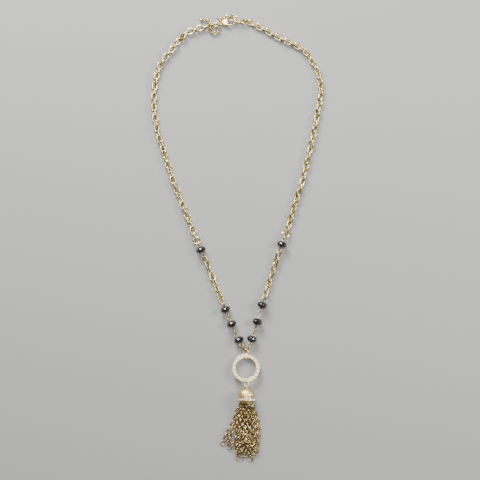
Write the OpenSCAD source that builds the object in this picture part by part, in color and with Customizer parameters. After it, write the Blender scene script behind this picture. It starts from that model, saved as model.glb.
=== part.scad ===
// Y necklace lying on a flat surface: a gold-coloured cable chain, black faceted beads on eye pins,
// a ring of clear stones and a tassel of fine chain under a fluted cap. Millimetres.
// X runs to the right, Y from the tassel to the clasp and Z up. The surface is at Z = 0.

/* [Long chains] */
// Wire of a link of the two long chains
chain_wire = 1.3; // [1.1:0.05:1.35]
// Outer width of a link of the two long chains
chain_width = 5.4; // [5.3:0.1:5.7]
// Number of links in the left long chain
left_links = 46; // [45:1:47]
// Number of links in the right long chain
right_links = 48; // [47:1:49]
// Wire of the round ring at the lower end of each long chain
end_loop_wire = 1.35; // [1.1:0.05:1.4]
// Play between two wires that hook into each other
play = 0.22; // [0.18:0.02:0.24]

/* [Short chains] */
// Wire of a link of the two short chains
short_wire = 1.0; // [0.9:0.05:1.1]
// Outer width of a link of the two short chains
short_width = 4.9; // [4.6:0.1:5.2]
// Number of links in each short chain
short_links = 8; // [8:1:9]

/* [Beads] */
// Diameter of a bead over its rim
bead_d = 8.4; // [7.6:0.2:8.8]
// Length of a bead along its pin
bead_len = 5; // [4.4:0.2:5]
// Hole through a bead
bead_bore = 1.2; // [1.1:0.05:1.4]
// Wire of an eye pin
pin_wire = 0.8; // [0.7:0.05:0.8]
// Outer width of the eye at each end of a pin
eye_width = 3.7; // [3.5:0.1:3.8]
// Wire of the narrow link under each string of beads
drop_wire = 0.8; // [0.7:0.05:0.85]
// Outer width of the narrow link under each string of beads
drop_width = 4; // [3.8:0.1:4.1]

/* [Ring of stones] */
// Outer diameter of the ring
ring_d = 22.5; // [22.2:0.1:22.8]
// Width of the ring's band
band_width = 3.2; // [3.2:0.1:3.6]
// Height of the ring's band
band_height = 2.4; // [2.2:0.1:2.6]
// Number of stones round the ring
ring_stone_count = 20; // [18:1:22]
// Diameter of a stone of the ring
ring_stone_d = 2.35; // [2.2:0.05:2.35]
// Slope of the ring, whose lower edge the cap holds up
ring_tilt = 7.8; // [7.6:0.1:8]

/* [Cap] */
// Length of the cap along its axis
cap_len = 9.6; // [9.4:0.1:10]
// Largest radius of the cap's dome
dome_r = 6.5; // [6.2:0.1:6.6]
// Radius of the cap's band of stones
cap_band_r = 6.95; // [6.8:0.05:7.1]
// Number of stones round the cap
cap_stone_count = 19; // [17:1:19]
// Diameter of a stone of the cap
cap_stone_d = 1.8; // [1.6:0.05:1.8]
// Slope of the cap's axis, which is lower at its eye
cap_tilt = 9; // [8.8:0.1:9.2]

/* [Tassel] */
// Thickness of a strand of the tassel
strand_d = 3.2; // [2.8:0.1:3.4]

/* [Clasp] */
// Thickness of the clasp's closed end
clasp_thick = 2.6; // [2.4:0.1:2.8]
// Thickness of the clasp's hook
hook_thick = 1.5; // [1.3:0.1:1.6]
// Radius of the pin on which the lever turns
hinge_pin_r = 0.45; // [0.4:0.05:0.5]
// Wire of the small links beside the clasp
small_wire = 0.65; // [0.6:0.05:0.7]
// Number of links in the extension chain
extension_links = 24; // [22:2:24]

/* [Hidden] */
$fn = 24;

gold = [0.86, 0.71, 0.42];
bronze = [0.6, 0.45, 0.24];
crystal = [0.92, 0.93, 0.95];
black_glass = [0.06, 0.06, 0.07];

// The long chains' middle lines from the clasp down, points X, Y
left_route = [
    [-23.5, 169.5], [-30, 168], [-37.5, 165.5], [-41.5, 163], [-47, 157.5], [-52, 151], [-57.5, 144.5],
    [-62, 137.5], [-64.5, 129.5], [-66, 121.5], [-66.5, 113.5], [-66.5, 105], [-65.5, 96.5], [-63.5, 84.5],
    [-60.5, 75.5], [-55.5, 60], [-51.5, 47.5], [-43.5, 27], [-35, 6], [-33, 0]
];
right_route = [
    [4, 173.3], [7.5, 173.2], [11, 172], [18, 169], [25.5, 165], [33, 160.5], [41, 157], [48.5, 153.5],
    [55.5, 148.5], [60, 141.5], [64, 134.5], [66, 126.5], [67, 118], [66, 110], [64.5, 101.5],
    [63, 93.5], [60.5, 81], [56.5, 64], [52.5, 47.5], [47, 29.5], [39.5, 5]
];
// Twist of each long chain along its length: number of the link and degrees
left_twist = [
    [0, -8], [3, 0], [8, 90], [10, 88], [12, 64], [16, 56], [18, 74], [20, 52], [22, 82], [24, 48],
    [26, 78], [31, 4], [34, 84], [36, 94], [39, 176], [41, 184], [44, 266], [47, 276]
];
right_twist = [
    [0, 46], [1, 42], [3, 10], [6, 0], [10, 4], [13, 34], [15, 16], [17, 32], [19, 36], [21, 58],
    [23, 32], [25, 42], [27, 66], [29, 26], [31, 32], [33, 70], [35, 22], [37, 52], [39, 70],
    [41, 34], [43, 42], [45, 32], [47, 68], [49, 70]
];
// How much closer together the links lie at the clasp than on average
left_stretch = 0.03;
right_stretch = 0.02;
// Where the pieces below the long chains hook into each other, points X, Y, Z
left_hooks = [
    [-31.5, -3.5, 3.9], [-26, -15, 4.5], [-11.5, -51.5, 4.4], [-6.5, -62.5, 4.2], [-1.5, -75.5, 4.2],
    [4.2, -86, 4.2], [6.1, -89.5, 1.4]
];
right_hooks = [
    [38, 1.5, 3.9], [33.5, -11, 4.5], [21.8, -47.5, 4.4], [18.4, -58.5, 4.2], [14, -74, 4.2],
    [9.8, -86, 4.2], [7.9, -89.5, 1.4]
];
// Distance of each bead's middle from the hook above it
left_bead_at = [6.3, 5.6, 6.1, 6.2];
right_bead_at = [6.6, 5.7, 8.1, 6.4];
// Roll of the eyes at the upper and lower end of each pin
left_eye_rolls = [[90, -50], [55, 85], [-5, 85], [-5, -10]];
right_eye_rolls = [[90, 45], [-50, 85], [-5, 15], [105, -10]];

// Ring of stones: place of its middle, on the back face
ring_at = [7.2, -103.6, 2.5];
channel_rim = 0.3;
channel_depth = 0.9;
solder_wire = 0.9;
solder_z = 0.95;
upper_solder_r = 2;
lower_solder_r = 1.7;
// How far each soldered ring's middle line runs into the band
upper_solder_in = 0.4;
lower_solder_in = 0.25;

// Cap: place of the middle of its top
cap_at = [7.6, -120.4, 5.85];
dome_len = 5.2;
groove_r = 5;
groove_from = 6;
cap_band_from = 7.1;
cap_bore_r = 4.1;
cap_mouth_r = 5.4;
cap_eye_wire = 0.8;
cap_eye_width = 3;
cap_eye_len = 4.4;

// Clasp: place of the middle of its eye, and its heading
clasp_at = [-12.8, 172, 2.6];
clasp_heading = 4.5;
clasp_eye_r = 1.5;
clasp_eye_bore = 0.75;
// Outline of the clasp, circles with place along it and radius
neck_circle = [1.9, 1.5];
waist_circle = [4.6, 2.7];
nose_circle = [8.6, 2.5];
// Space inside the hook
mouth_r = 1.15;
mouth_from = 6.2;
mouth_to = 8.9;
hinge = [3.7, -1.3];
lever_reach = 5.05;
gate_to = 9.1;
clasp_ring_width = 4.6;
clasp_ring_wire = 0.8;
// How far inside the nose the ring lies on the hook
clasp_ring_in = 0.17;
clasp_ring_roll = 80;
// Height of the right chain's first hook, which the ring on the hook holds up
first_hook_z = 2.4;
extension_width = 3;
// Rolls of the small links between the left chain and the clasp, and how far their hooks sag
clasp_link_rolls = [-8, 82, -8, 88];
clasp_link_sag = [0, 0.6, 0.9, 0.6, 0];

// Drop at the end of the extension chain
drop_eye_r = 1.1;
drop_ball_d = 2.6;

// Extension chain, from the ring on the hook to its free end, points X, Y, Z
extension_route = [
    [-0.6, 172.8, 4.4], [-0.8, 175, 4.8], [-2, 177, 4], [-4, 177.8, 2.6], [-6.8, 177.6, 1.8],
    [-9.2, 176.8, 1.7], [-11.5, 175.8, 2], [-14, 174.8, 3.6], [-15.4, 172.8, 5.2], [-15.6, 170.5, 5.5],
    [-15.4, 168.8, 4.6], [-15.1, 166.8, 3.2], [-16.1, 164.8, 2], [-18.3, 163.9, 1.8], [-20.5, 164.8, 2.5],
    [-21.4, 167.1, 3.7], [-21, 168.8, 5.1], [-21, 170.8, 5.5], [-22.2, 173, 4.2], [-24, 174.4, 2.6],
    [-26, 174.8, 1.7]
];

// Strands of the tassel from its head down, points X, Y, Z
strand_routes = [
    [[4.5, -130, 6.6], [2.5, -132.5, 6.2], [0, -138, 3.4], [-2, -144, 1.7], [-5, -150.5, 1.7],
        [-8, -155.5, 1.7], [-9.5, -160, 1.7], [-12, -163.5, 1.7]],
    [[5.4, -130, 5.2], [4, -132.5, 4.4], [1.2, -139.5, 1.7], [-1, -147, 1.7], [-3.4, -152, 4.4],
        [-6, -157.5, 4.2], [-7, -163, 1.9], [-5.8, -166.5, 1.7]],
    [[5.4, -130, 8], [4.2, -132.5, 7.6], [2.4, -140, 5], [0.6, -148, 4.8], [-1, -156, 1.9],
        [-2.2, -161.5, 1.7], [-4.4, -164.5, 1.7]],
    [[6.2, -130, 4.4], [5.6, -133, 3.6], [4, -141, 1.7], [2.4, -151, 1.7], [1, -159, 1.7],
        [-0.4, -166, 1.7], [0, -175, 1.7]],
    [[6.6, -130, 6.2], [6, -133, 5.8], [5.4, -141, 4.8], [4.4, -151, 4.8], [3.2, -160, 4.6],
        [2.6, -168, 3.6], [1.6, -175.2, 1.9]],
    [[7.6, -130, 9.2], [7.4, -132.5, 8.6], [7, -141, 6.8], [6.4, -150, 4.9], [5.8, -160, 4.8],
        [5.2, -168, 3.4], [5.2, -174, 1.8]],
    [[7.8, -130, 4.3], [8, -133, 3.4], [7.6, -141, 1.7], [7, -151, 1.7], [6.8, -160, 1.7],
        [7.4, -168, 1.7], [6.6, -174, 1.7]],
    [[8.6, -130, 6.2], [9, -133, 5.8], [9.6, -141, 4.8], [9.6, -151, 4.8], [9.6, -160, 4.6],
        [10, -168, 3.4], [9.8, -175.5, 1.8]],
    [[9.2, -130, 4.5], [9.8, -133, 3.7], [11.2, -141, 1.7], [12, -151, 1.7], [12, -160, 1.7],
        [12.4, -168, 1.7], [12.4, -175.5, 1.7]],
    [[10, -130, 8], [10.6, -132.5, 7.6], [12.4, -140, 5], [14, -149, 4.8], [14.4, -158, 4.6],
        [14, -166, 3], [14, -172.5, 1.7]],
    [[11, -130, 6.4], [12, -132.5, 5.6], [14.4, -139, 2.6], [16.4, -146, 1.7], [17, -153, 1.7],
        [16.4, -160, 1.7], [15.6, -167, 1.7], [15.6, -171, 1.7]]
];

// Point of a smooth curve through four points, between the second and the third
function curve_point(a, b, c, d, t) =
    0.5 * (2 * b + (c - a) * t + (2 * a - 5 * b + 4 * c - d) * t * t
        + (3 * b - a - 3 * c + d) * t * t * t);

// A route with eight points for each of its stretches
function smooth(route) = concat(
    [for (i = [0 : len(route) - 2]) for (k = [0 : 7])
        curve_point(route[max(i - 1, 0)], route[i], route[i + 1],
            route[min(i + 2, len(route) - 1)], k / 8)],
    [route[len(route) - 1]]);

// Length of the way from the start to each point
function run_lengths(points) = [
    for (i = 0, s = 0; i < len(points);
        s = s + (i < len(points) - 1 ? norm(points[i + 1] - points[i]) : 0), i = i + 1) s
];

// Point at a distance along the way
function along(points, lengths, distance) =
    let (i = max([for (k = [0 : len(points) - 2]) if (lengths[k] <= distance + 0.0001) k]))
    let (t = min(1, (distance - lengths[i]) / (lengths[i + 1] - lengths[i])))
    points[i] + (points[i + 1] - points[i]) * t;

// The hooking points of a number of links laid along a route, closer together at its start by a part
// of their spacing and as much further apart at its end
function spaced(route, count, stretch = 0) =
    let (points = smooth(route), lengths = run_lengths(points))
    [for (k = [0 : count])
        let (u = k / count)
        along(points, lengths, lengths[len(lengths) - 1] * (u + stretch * u * (u - 1)))];

// Height of a link's middle when it touches the surface at a roll
function lying_z(width, wire, roll) = wire / 2 + (width - wire) / 2 * abs(sin(roll));

// Roll of each link: each stands across the one before, and the chain is twisted along its length.
// The last link stands up in the end loop, which lies flat.
function chain_roll(i, count, twist, last_roll) =
    i == count - 1 ? last_roll : lookup(i, twist) + (i % 2 == 0 ? 90 : 0);

// The hooking points of a long chain with their heights
function raised(points, rolls, first_z = 0) = [
    for (k = [0 : len(points) - 1])
        let (above = lying_z(chain_width, chain_wire, rolls[min(max(k - 1, 0), len(rolls) - 2)]),
            below = lying_z(chain_width, chain_wire, rolls[min(max(k, 1), len(rolls) - 1)]))
        [points[k][0], points[k][1], max(above, below, k == 0 ? first_z : 0)]
];

left_rolls = [for (i = [0 : left_links - 1]) chain_roll(i, left_links, left_twist, 90)];
right_rolls = [for (i = [0 : right_links - 1]) chain_roll(i, right_links, right_twist, 68)];
left_points = raised(spaced(left_route, left_links, left_stretch), left_rolls);
right_points = raised(spaced(right_route, right_links, right_stretch), right_rolls, first_hook_z);

// A point of the clasp in the necklace's frame
function on_clasp(x, y, z) = clasp_at + [
    x * cos(clasp_heading) - y * sin(clasp_heading),
    x * sin(clasp_heading) + y * cos(clasp_heading),
    z
];

// Puts a piece that lies along X from 0 between two points, rolled about its length
module between(a, b, roll) {
    d = b - a;
    translate(a)
        rotate([0, -asin(d[2] / norm(d)), atan2(d[1], d[0])])
            rotate([roll, 0, 0])
                children();
}

// A closed wire loop with straight sides, along X, with its middle at the origin
module wire_loop(length, width, wire) {
    bend_r = (width - wire) / 2;
    straight = length - width;
    // The straight sides are a hair thinner than the bends and run a little way into them
    overlap = 0.12;
    if (straight < 0.02) {
        rotate_extrude() translate([bend_r, 0]) circle(d = wire);
    } else {
        for (side = [-1, 1]) {
            translate([side * straight / 2, 0, 0])
                rotate([0, 0, -90 * side])
                    rotate_extrude(angle = 180, start = 0) translate([bend_r, 0]) circle(d = wire);
            translate([-straight / 2 - overlap, side * bend_r, 0])
                rotate([0, 90, 0])
                    cylinder(d = wire * 0.96, h = straight + 2 * overlap);
        }
    }
}

// A link that hooks into its neighbours at two points
module link(a, b, width, wire, roll, slack = 0) {
    reach = norm(b - a);
    between(a, b, roll)
        translate([reach / 2, 0, 0])
            wire_loop(max(reach + 2 * wire + play + slack, width), width, wire);
}

module link_chain(points, rolls, width, wire, slack = 0) {
    for (i = [0 : len(points) - 2]) {
        link(points[i], points[i + 1], width, wire, rolls[i], slack);
    }
}

// Heights of a short chain's hooks: its ends are held up by the beads
function short_z(k) = max(2.4, 4.45 - 0.85 * min(k, short_links - k));
function short_points(a, b) = [
    for (k = [0 : short_links]) let (p = a + (b - a) * k / short_links) [p[0], p[1], short_z(k)]
];
short_rolls_left = [40, -50, 50, -20, 45, -55, 35, -35, 55];
short_rolls_right = [-45, 50, -35, 45, -50, 30, -50, 45, -40];

module short_chain(hooks, rolls) {
    color(gold) link_chain(short_points(hooks[1], hooks[2]), rolls, short_width, short_wire);
}

// A bead cut in four rows of triangles, with its hole along X
module faceted_bead() {
    sides = 12;
    rows = [[-0.5, 0.27, 0], [-0.27, 0.43, 0.5], [0, 0.5, 0], [0.27, 0.43, 0.5], [0.5, 0.27, 0]];
    count = len(rows) * sides;
    points = [for (row = rows) for (k = [0 : sides - 1])
        [bead_len * row[0], bead_d * row[1] * cos(360 * (k + row[2]) / sides),
            bead_d * row[1] * sin(360 * (k + row[2]) / sides)]];
    faces = concat(
        [for (r = [0 : len(rows) - 2]) for (k = [0 : sides - 1])
            let (n = (k + 1) % sides, low = r * sides, high = (r + 1) * sides)
            rows[r][2] == 0 ? [low + k, low + n, high + k] : [low + k, low + n, high + n]],
        [for (r = [0 : len(rows) - 2]) for (k = [0 : sides - 1])
            let (n = (k + 1) % sides, low = r * sides, high = (r + 1) * sides)
            rows[r][2] == 0 ? [low + n, high + n, high + k] : [low + k, high + n, high + k]],
        [[for (k = [sides - 1 : -1 : 0]) k]],
        [[for (k = [0 : sides - 1]) count - sides + k]]);
    difference() {
        polyhedron(points = points, faces = faces);
        rotate([0, 90, 0]) cylinder(d = bead_bore, h = bead_len + 1, center = true);
    }
}

module bead(a, b, distance) {
    color(black_glass) between(a, b, 0) translate([distance, 0, 0]) faceted_bead();
}

// A straight wire with an eye at each end that hooks in at two points
module eye_pin(a, b, rolls) {
    reach = norm(b - a);
    tip = (pin_wire + play) / 2;
    eye_len = eye_width + 0.3;
    eye_mid = (eye_len - pin_wire) / 2 - tip;
    shank_from = eye_len - pin_wire - tip;
    color(bronze) between(a, b, 0) {
        translate([eye_mid, 0, 0]) rotate([rolls[0], 0, 0]) wire_loop(eye_len, eye_width, pin_wire);
        translate([reach - eye_mid, 0, 0]) rotate([rolls[1], 0, 0]) wire_loop(eye_len, eye_width, pin_wire);
        translate([shank_from, 0, 0]) rotate([0, 90, 0])
            cylinder(d = pin_wire * 0.92, h = reach - 2 * shank_from);
    }
}

// A stone cut with a table and eight facets, its table up and its foot at the origin
module cut_stone(d, height) {
    sides = 8;
    rows = [[0, 0.28], [0.5, 0.5], [0.58, 0.5], [1, 0.29]];
    points = [for (row = rows) for (k = [0 : sides - 1])
        [d * row[1] * cos(360 * k / sides), d * row[1] * sin(360 * k / sides), height * row[0]]];
    sides_faces = [for (r = [0 : len(rows) - 2]) for (k = [0 : sides - 1])
        let (n = (k + 1) % sides, low = r * sides, high = (r + 1) * sides)
        [low + k, low + n, high + n, high + k]];
    ends = [[for (k = [sides - 1 : -1 : 0]) k], [for (k = [0 : sides - 1]) (len(rows) - 1) * sides + k]];
    polyhedron(points = points, faces = concat(sides_faces, ends));
}

module on_ring() {
    translate(ring_at) rotate([-ring_tilt, 0, 0]) children();
}

// The band with a channel for the stones and a small ring soldered to its upper and lower edge
module stone_ring() {
    outer = ring_d / 2;
    inner = outer - band_width;
    floor_z = band_height - channel_depth;
    color(gold) on_ring() {
        rotate_extrude() polygon([
            [inner, 0.3], [inner + 0.3, 0], [outer - 0.3, 0], [outer, 0.3], [outer, band_height],
            [outer - channel_rim, band_height], [outer - channel_rim, floor_z],
            [inner + channel_rim, floor_z], [inner + channel_rim, band_height], [inner, band_height]
        ]);
        translate([-0.2, outer + upper_solder_r - upper_solder_in, solder_z])
            rotate_extrude() translate([upper_solder_r, 0]) circle(d = solder_wire);
        translate([0.3, -outer - lower_solder_r + lower_solder_in, solder_z])
            rotate_extrude() translate([lower_solder_r, 0]) circle(d = solder_wire);
    }
}

module ring_stones() {
    mid_r = (ring_d - band_width) / 2;
    seat_z = band_height - channel_depth + 0.1;
    color(crystal) on_ring()
        for (k = [0 : ring_stone_count - 1])
            rotate([0, 0, 360 * k / ring_stone_count])
                translate([0, mid_r, seat_z])
                    rotate([0, 0, 22.5]) cut_stone(ring_stone_d, 1.35);
}

module on_cap() {
    translate(cap_at) rotate([-90 - cap_tilt, 0, 0]) children();
}

// Radius of the dome at a depth below the cap's top
function dome_at(depth) = 2.6 + (dome_r - 2.6) * sqrt(1 - pow(1 - depth / dome_len, 2));

// The cap hangs down along -Z in its own frame
module tassel_cap() {
    dome = [for (k = [0 : 8]) let (depth = dome_len * (1 - cos(90 * k / 8))) [dome_at(depth), -depth]];
    channel_floor = cap_band_r - 0.8;
    eye_z = cap_eye_len / 2 - 0.25;
    color(gold) on_cap() {
        rotate_extrude() polygon(concat([[0, 0]], dome, [
            [dome_r - 0.3, -dome_len - 0.5], [groove_r, -groove_from], [groove_r, -cap_band_from],
            [cap_band_r, -cap_band_from], [cap_band_r, -cap_band_from - 0.25],
            [channel_floor, -cap_band_from - 0.25], [channel_floor, -cap_len + 0.25],
            [cap_band_r, -cap_len + 0.25], [cap_band_r, -cap_len], [cap_mouth_r, -cap_len],
            [cap_mouth_r, -cap_band_from - 0.5], [cap_bore_r, -cap_band_from - 0.1],
            [cap_bore_r, -1.4], [0, -1.4]
        ]));
        translate([0, 0, eye_z]) rotate([0, 90, 0])
            wire_loop(cap_eye_len, cap_eye_width, cap_eye_wire);
    }
}

module cap_stones() {
    seat_r = cap_band_r - 0.8 + 0.1;
    mid = -(cap_band_from + cap_len) / 2;
    color(crystal) on_cap()
        for (k = [0 : cap_stone_count - 1])
            rotate([0, 0, 360 * k / cap_stone_count])
                translate([0, seat_r, mid])
                    rotate([-90, 0, 0]) rotate([0, 0, 22.5]) cut_stone(cap_stone_d, 0.9);
}

// Strands fused to a head that sits in the cap's mouth
module tassel() {
    color(bronze) {
        on_cap() {
            translate([0, 0, -cap_len + 0.3]) cylinder(r = cap_mouth_r - 0.2, h = 1.4);
            translate([0, 0, -cap_len + 1]) cylinder(r = cap_bore_r - 0.3, h = 4.6);
        }
        for (route = strand_routes)
            for (i = [0 : len(route) - 2])
                hull() {
                    translate(route[i]) sphere(d = strand_d, $fn = 8);
                    translate(route[i + 1]) sphere(d = strand_d, $fn = 8);
                }
    }
}

module on_clasp_frame() {
    translate(clasp_at) rotate([0, 0, clasp_heading]) children();
}

// Outline round two circles that stand at x on the X axis
function tangent_outline(first, second) =
    let (lean = acos((first[1] - second[1]) / (second[0] - first[0])))
    concat(
        [for (k = [0 : 10]) let (a = lean + (360 - 2 * lean) * k / 10)
            [first[0] + first[1] * cos(a), first[1] * sin(a)]],
        [for (k = [0 : 10]) let (a = -lean + 2 * lean * k / 10)
            [second[0] + second[1] * cos(a), second[1] * sin(a)]]);

// The clasp's flat form: closed end, waist and hook
module clasp_outline() {
    polygon(tangent_outline(neck_circle, waist_circle));
    polygon(tangent_outline(waist_circle, nose_circle));
}

// Closed end, hook and eye in one piece, with the lever's hinge pin
module clasp_body() {
    half = clasp_thick / 2;
    eye_thick = 1;
    color(gold) on_clasp_frame() {
        difference() {
            union() {
                translate([0, 0, -half]) linear_extrude(clasp_thick)
                    intersection() {
                        clasp_outline();
                        translate([1.3, -5]) square([3.9, 10]);
                    }
                translate([0, 0, -hook_thick / 2]) linear_extrude(hook_thick)
                    intersection() {
                        clasp_outline();
                        translate([5, -5]) square([8, 10]);
                    }
                translate([0, 0, -eye_thick / 2]) cylinder(r = clasp_eye_r, h = eye_thick);
            }
            translate([0, 0, -half - 1]) cylinder(r = clasp_eye_bore, h = clasp_thick + 2);
            for (x = [mouth_from, mouth_to])
                translate([x, 0, -half - 1]) cylinder(r = mouth_r, h = clasp_thick + 2);
            translate([mouth_from, -mouth_r, -half - 1])
                cube([mouth_to - mouth_from, 2 * mouth_r, clasp_thick + 2]);
            translate([5.2, -4, -half - 1]) cube([gate_to - 5.2, 4, clasp_thick + 2]);
            translate([hinge[0] - 1.4, -4, -0.65]) cube([4, 4.05, 1.3]);
        }
        translate([hinge[0], hinge[1], -half + 0.2]) cylinder(r = hinge_pin_r, h = clasp_thick - 0.4);
    }
}

// The sprung gate: a lug on the hinge pin, an arm to the nose and a thumb tab
module clasp_lever() {
    lug = 1.05;
    color(gold) on_clasp_frame() translate([hinge[0], hinge[1], 0])
        difference() {
            union() {
                translate([0, 0, -lug / 2]) cylinder(r = 1.1, h = lug);
                translate([0, -1.1, -lug / 2]) cube([2.2, 1.9, lug]);
                translate([1.7, -1.15, -hook_thick / 2])
                    cube([lever_reach - 1.7, 1.1, hook_thick]);
                translate([1.9, -2.4, -hook_thick / 2]) cube([1.1, 1.6, hook_thick]);
                translate([2.45, -2.4, -hook_thick / 2]) cylinder(r = 0.75, h = hook_thick);
            }
            translate([0, 0, -2]) cylinder(r = hinge_pin_r + 0.1, h = 4);
        }
}

// Ring that the hook holds, with the right chain and the extension chain on it
module clasp_ring() {
    color(gold) link(on_clasp(mouth_to + mouth_r - clasp_ring_in, 0, 0), right_points[0],
        clasp_ring_width, clasp_ring_wire, clasp_ring_roll);
}

module clasp_chain() {
    start = left_points[0];
    end = on_clasp(-clasp_eye_bore + 0.35, 0, 0);
    count = len(clasp_link_rolls);
    points = [for (k = [0 : count]) start + (end - start) * k / count - [0, 0, clasp_link_sag[k]]];
    color(gold) link_chain(points, clasp_link_rolls, 3.4, small_wire);
}

module extension_chain() {
    points = spaced(extension_route, extension_links);
    rolls = [for (k = [0 : extension_links - 1]) k % 2 == 0 ? 80 : -10];
    color(gold) link_chain(points, rolls, extension_width, small_wire, 0.2);
}

// Small drop at the free end of the extension chain
module extension_drop() {
    points = spaced(extension_route, extension_links);
    end = points[extension_links];
    color(gold) translate(end + [-drop_eye_r + (small_wire + play) / 2, 0, 0]) {
        rotate([75, 0, 0]) rotate_extrude() translate([drop_eye_r, 0]) circle(d = small_wire);
        translate([-2.1, 0, 0]) rotate([0, 0, 180]) sphere(d = drop_ball_d);
    }
}

module chain_left() {
    color(gold) link_chain(left_points, left_rolls, chain_width, chain_wire);
}

module chain_right() {
    color(gold) link_chain(right_points, right_rolls, chain_width, chain_wire);
}

// Round ring between a long chain and the first bead
module end_loop(a, b) {
    size = norm(b - a) + 2 * end_loop_wire + play;
    color(gold) between(a, b, 0) translate([norm(b - a) / 2, 0, 0])
        wire_loop(size, size, end_loop_wire);
}

module drop_link(a, b, roll) {
    color(bronze) link(a, b, drop_width, drop_wire, roll, 0.12);
}

chain_left();
chain_right();
end_loop(left_points[left_links], left_hooks[0]);  // end_loop_left
end_loop(right_points[right_links], right_hooks[0]);  // end_loop_right
short_chain(left_hooks, short_rolls_left);  // short_chain_left
short_chain(right_hooks, short_rolls_right);  // short_chain_right
bead(left_hooks[0], left_hooks[1], left_bead_at[0]);  // bead_left_1
bead(left_hooks[2], left_hooks[3], left_bead_at[1]);  // bead_left_2
bead(left_hooks[3], left_hooks[4], left_bead_at[2]);  // bead_left_3
bead(left_hooks[4], left_hooks[5], left_bead_at[3]);  // bead_left_4
bead(right_hooks[0], right_hooks[1], right_bead_at[0]);  // bead_right_1
bead(right_hooks[2], right_hooks[3], right_bead_at[1]);  // bead_right_2
bead(right_hooks[3], right_hooks[4], right_bead_at[2]);  // bead_right_3
bead(right_hooks[4], right_hooks[5], right_bead_at[3]);  // bead_right_4
eye_pin(left_hooks[0], left_hooks[1], left_eye_rolls[0]);  // pin_left_1
eye_pin(left_hooks[2], left_hooks[3], left_eye_rolls[1]);  // pin_left_2
eye_pin(left_hooks[3], left_hooks[4], left_eye_rolls[2]);  // pin_left_3
eye_pin(left_hooks[4], left_hooks[5], left_eye_rolls[3]);  // pin_left_4
eye_pin(right_hooks[0], right_hooks[1], right_eye_rolls[0]);  // pin_right_1
eye_pin(right_hooks[2], right_hooks[3], right_eye_rolls[1]);  // pin_right_2
eye_pin(right_hooks[3], right_hooks[4], right_eye_rolls[2]);  // pin_right_3
eye_pin(right_hooks[4], right_hooks[5], right_eye_rolls[3]);  // pin_right_4
drop_link(left_hooks[5], left_hooks[6], 80);  // drop_link_left
drop_link(right_hooks[5], right_hooks[6], 80);  // drop_link_right
stone_ring();
ring_stones();
tassel_cap();
cap_stones();
tassel();
clasp_body();
clasp_lever();
clasp_chain();
clasp_ring();
extension_chain();
extension_drop();
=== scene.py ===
"""Y necklace: a gold-coloured cable chain with black faceted beads, a ring of clear stones and a
tassel of fine chain under a fluted cap, lying on a pale surface and seen from straight above.
Metres, with X to the right, Y from the tassel to the clasp and Z up."""
import math
import random
from itertools import pairwise

import bmesh
import bpy
from bpy.props import FloatProperty, FloatVectorProperty, IntProperty, PointerProperty
from bpy.types import Operator, Panel, PropertyGroup
from mathutils import Matrix, Vector


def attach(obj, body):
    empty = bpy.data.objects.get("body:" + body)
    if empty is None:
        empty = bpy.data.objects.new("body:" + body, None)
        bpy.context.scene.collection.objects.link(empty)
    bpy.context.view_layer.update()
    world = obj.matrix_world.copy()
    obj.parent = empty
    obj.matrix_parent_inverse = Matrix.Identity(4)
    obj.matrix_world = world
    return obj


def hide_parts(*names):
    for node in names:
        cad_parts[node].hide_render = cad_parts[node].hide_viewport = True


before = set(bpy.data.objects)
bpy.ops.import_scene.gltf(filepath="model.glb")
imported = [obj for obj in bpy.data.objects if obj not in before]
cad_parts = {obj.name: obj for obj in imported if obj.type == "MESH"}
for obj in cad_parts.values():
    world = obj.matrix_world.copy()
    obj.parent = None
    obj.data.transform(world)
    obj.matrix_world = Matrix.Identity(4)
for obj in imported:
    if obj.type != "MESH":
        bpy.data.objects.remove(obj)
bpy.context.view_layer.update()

bl_info = {
    "name": "Y necklace",
    "version": (1, 0, 0),
    "blender": (4, 5, 0),
    "location": "View3D > Sidebar > Y necklace",
    "description": "Makes a y necklace with beads, a ring of stones and a chain tassel",
    "category": "Add Mesh",
}

MM = 0.001
SIDES = ("left", "right")

# A loop is round below this half length, and points of a turned form are one below this distance
ROUND_LIMIT = 0.005 * MM
MERGE_DISTANCE = 0.0005 * MM
# Facets of a hull are one below this angle
FLAT_ANGLE = math.radians(1.5)
# Steps round each bend of a wire loop, and sides of its wire
HEAVY_LINK = (7, 8)
SMALL_LINK = (7, 6)
FINE_LINK = (5, 6)
EYE = (10, 8)
RING = (12, 8)
END_RING = (12, 10)
STRAND_RING = (8, 6)

# The long chains' middle lines from the clasp down, in millimetres, points X, Y
LONG_ROUTES = {
    "left": (
        (-23.5, 169.5), (-30, 168), (-37.5, 165.5), (-41.5, 163), (-47, 157.5), (-52, 151),
        (-57.5, 144.5), (-62, 137.5), (-64.5, 129.5), (-66, 121.5), (-66.5, 113.5), (-66.5, 105),
        (-65.5, 96.5), (-63.5, 84.5), (-60.5, 75.5), (-55.5, 60), (-51.5, 47.5), (-43.5, 27),
        (-35, 6), (-33, 0),
    ),
    "right": (
        (4, 173.3), (7.5, 173.2), (11, 172), (18, 169), (25.5, 165), (33, 160.5), (41, 157),
        (48.5, 153.5), (55.5, 148.5), (60, 141.5), (64, 134.5), (66, 126.5), (67, 118), (66, 110),
        (64.5, 101.5), (63, 93.5), (60.5, 81), (56.5, 64), (52.5, 47.5), (47, 29.5), (39.5, 5),
    ),
}
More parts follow.
